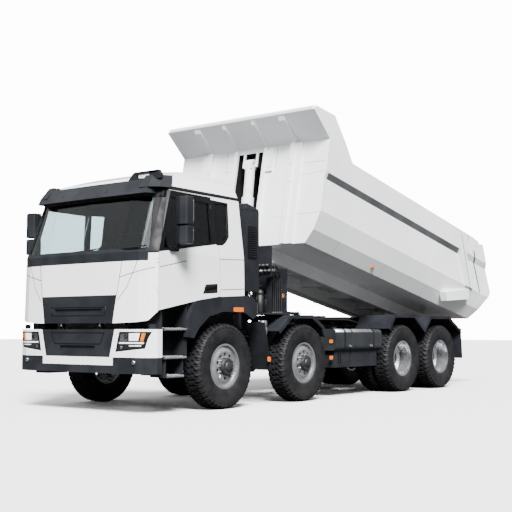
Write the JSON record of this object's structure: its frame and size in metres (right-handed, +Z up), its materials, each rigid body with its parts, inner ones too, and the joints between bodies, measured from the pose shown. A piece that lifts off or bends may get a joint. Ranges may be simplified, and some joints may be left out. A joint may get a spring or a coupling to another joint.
{
  "type": "dump truck",
  "caption": "Heavy dump truck with a forward cab, paired steering axles, a rear bogie with twin wheels and a tipping body with a cab guard, front hoist and top-hung tailgate.",
  "frame": {"origin": "middle of the bounding box at ground level, with the bed raised as it stands", "axes": "+X to the truck's left, +Y to the rear, +Z up"},
  "size_m": [3.1, 9.1692, 4.3419],
  "materials": {
    "paint": "gloss white cab paint",
    "bed_paint": "satin white body paint",
    "trim": "grained charcoal plastic",
    "chassis": "semi-matt black chassis paint",
    "axle": "black painted castings",
    "engine": "dark painted block",
    "tank": "charcoal tank",
    "glass": "lightly tinted glass",
    "lamp": "clear lamp lens over chrome",
    "tail_lamp": "red lens",
    "dash": "dark grained plastic",
    "seat": "dark woven fabric",
    "hoist": "white painted tube",
    "rim": "silver paint",
    "tyre": "black rubber"
  },
  "bodies": {
    "chassis": {"frame": "chassis", "tipper_subframe": "chassis", "bumper": "paint", "bumper_trim": "trim", "headlamps": "lamp", "engine": "engine", "radiator": "engine", "driveline": "axle", "steer_axles": "axle", "springs": "axle", "drive_axles": "axle", "tanks": "tank", "tool_boxes": "trim", "guards": "trim", "air_intake": "trim", "rear_lamps": "tail_lamp"},
    "cab": {"cab_shell": "paint", "cab_trim": "trim", "cab_glass": "glass", "visor": "trim", "cab_arches": "trim", "dashboard": "dash", "seats": "seat"},
    "door_left": {"door_left": "paint", "door_left_glass": "glass", "door_left_mirror": "trim"},
    "door_right": {"door_right": "paint", "door_right_glass": "glass", "door_right_mirror": "trim"},
    "bed": {"bed_floor": "bed_paint", "bed_sides": "bed_paint", "bed_front_wall": "bed_paint", "bed_canopy": "bed_paint", "bed_underframe": "bed_paint"},
    "tailgate": {"tailgate": "bed_paint"},
    "hoist_barrel": {"hoist_barrel": "hoist"},
    "hoist_stage_1": {"hoist_stage_1": "hoist"},
    "hoist_stage_2": {"hoist_stage_2": "hoist"},
    "hoist_stage_3": {"hoist_stage_3": "hoist"},
    "knuckle_1_left": {"knuckle_1_left": "axle"},
    "wheel_1_left": {"tyre_1_left": "tyre", "rim_1_left": "rim"},
    "knuckle_1_right": {"knuckle_1_right": "axle"},
    "wheel_1_right": {"tyre_1_right": "tyre", "rim_1_right": "rim"},
    "knuckle_2_left": {"knuckle_2_left": "axle"},
    "wheel_2_left": {"tyre_2_left": "tyre", "rim_2_left": "rim"},
    "knuckle_2_right": {"knuckle_2_right": "axle"},
    "wheel_2_right": {"tyre_2_right": "tyre", "rim_2_right": "rim"},
    "wheel_3_left": {"tyre_3_left": "tyre", "rim_3_left": "rim"},
    "wheel_3_right": {"tyre_3_right": "tyre", "rim_3_right": "rim"},
    "wheel_4_left": {"tyre_4_left": "tyre", "rim_4_left": "rim"},
    "wheel_4_right": {"tyre_4_right": "tyre", "rim_4_right": "rim"}
  },
  "joints": [
    {"name": "cab_tilt", "type": "hinge", "parent": "chassis", "child": "cab", "pos_m": [0, -4.51464, 1.1], "axis": [1, 0, 0], "range_deg": [0, 50]},
    {"name": "door_left_swing", "type": "hinge", "parent": "cab", "child": "door_left", "pos_m": [1.248, -4.39264, 1.9], "axis": [0, 0, -1], "range_deg": [0, 68]},
    {"name": "door_right_swing", "type": "hinge", "parent": "cab", "child": "door_right", "pos_m": [-1.248, -4.39264, 1.9], "axis": [0, 0, 1], "range_deg": [0, 68]},
    {"name": "bed_tilt", "type": "hinge", "parent": "chassis", "child": "bed", "pos_m": [0, 3.60536, 1.2], "axis": [-1, 0, 0], "range_deg": [-11.4, 32.6]},
    {"name": "tailgate_swing", "type": "hinge", "parent": "bed", "child": "tailgate", "pos_m": [0, 3.99399, 2.65183], "axis": [1, 0, 0], "range_deg": [0, 70]},
    {"name": "hoist_swing", "type": "hinge", "parent": "chassis", "child": "hoist_barrel", "pos_m": [0, -1.36464, 0.88], "axis": [-1, 0, 0], "range_deg": [-7.57, 20.71]},
    {"name": "hoist_slide_1", "type": "slide", "parent": "hoist_barrel", "child": "hoist_stage_1", "axis": [0, 0.123, 0.9924], "range_m": [-0.318, 0.9]},
    {"name": "hoist_slide_2", "type": "slide", "parent": "hoist_stage_1", "child": "hoist_stage_2", "axis": [0, 0.123, 0.9924], "range_m": [-0.318, 0.9]},
    {"name": "hoist_slide_3", "type": "slide", "parent": "hoist_stage_2", "child": "hoist_stage_3", "axis": [0, 0.123, 0.9924], "range_m": [-0.318, 0.9]},
    {"name": "steer_1_left", "type": "hinge", "parent": "chassis", "child": "knuckle_1_left", "pos_m": [0.95, -3.11464, 0.56], "axis": [0, 0, 1], "range_deg": [-36, 36]},
    {"name": "roll_1_left", "type": "hinge", "parent": "knuckle_1_left", "child": "wheel_1_left", "pos_m": [1.115, -3.11464, 0.56], "axis": [1, 0, 0], "continuous": true},
    {"name": "steer_1_right", "type": "hinge", "parent": "chassis", "child": "knuckle_1_right", "pos_m": [-0.95, -3.11464, 0.56], "axis": [0, 0, 1], "range_deg": [-36.5, 36.5]},
    {"name": "roll_1_right", "type": "hinge", "parent": "knuckle_1_right", "child": "wheel_1_right", "pos_m": [-1.115, -3.11464, 0.56], "axis": [1, 0, 0], "continuous": true},
    {"name": "steer_2_left", "type": "hinge", "parent": "chassis", "child": "knuckle_2_left", "pos_m": [0.95, -1.32464, 0.56], "axis": [0, 0, 1], "range_deg": [-24.26, 24.26]},
    {"name": "roll_2_left", "type": "hinge", "parent": "knuckle_2_left", "child": "wheel_2_left", "pos_m": [1.115, -1.32464, 0.56], "axis": [1, 0, 0], "continuous": true},
    {"name": "steer_2_right", "type": "hinge", "parent": "chassis", "child": "knuckle_2_right", "pos_m": [-0.95, -1.32464, 0.56], "axis": [0, 0, 1], "range_deg": [-24.26, 24.26]},
    {"name": "roll_2_right", "type": "hinge", "parent": "knuckle_2_right", "child": "wheel_2_right", "pos_m": [-1.115, -1.32464, 0.56], "axis": [1, 0, 0], "continuous": true},
    {"name": "roll_3_left", "type": "hinge", "parent": "chassis", "child": "wheel_3_left", "pos_m": [0.94, 1.54536, 0.56], "axis": [1, 0, 0], "continuous": true},
    {"name": "roll_3_right", "type": "hinge", "parent": "chassis", "child": "wheel_3_right", "pos_m": [-0.94, 1.54536, 0.56], "axis": [1, 0, 0], "continuous": true},
    {"name": "roll_4_left", "type": "hinge", "parent": "chassis", "child": "wheel_4_left", "pos_m": [0.94, 2.89536, 0.56], "axis": [1, 0, 0], "continuous": true},
    {"name": "roll_4_right", "type": "hinge", "parent": "chassis", "child": "wheel_4_right", "pos_m": [-0.94, 2.89536, 0.56], "axis": [1, 0, 0], "continuous": true}
  ],
  "couplings": [
    {"joint": "hoist_swing", "follows": "bed_tilt", "ratio": 0.62},
    {"joint": "hoist_slide_1", "follows": "bed_tilt", "m_per_rad": 1.573},
    {"joint": "hoist_slide_2", "follows": "bed_tilt", "m_per_rad": 1.573},
    {"joint": "hoist_slide_3", "follows": "bed_tilt", "m_per_rad": 1.573},
    {"joint": "steer_1_right", "follows": "steer_1_left", "ratio": 1},
    {"joint": "steer_2_left", "follows": "steer_1_left", "ratio": 0.66},
    {"joint": "steer_2_right", "follows": "steer_1_left", "ratio": 0.66}
  ]
}
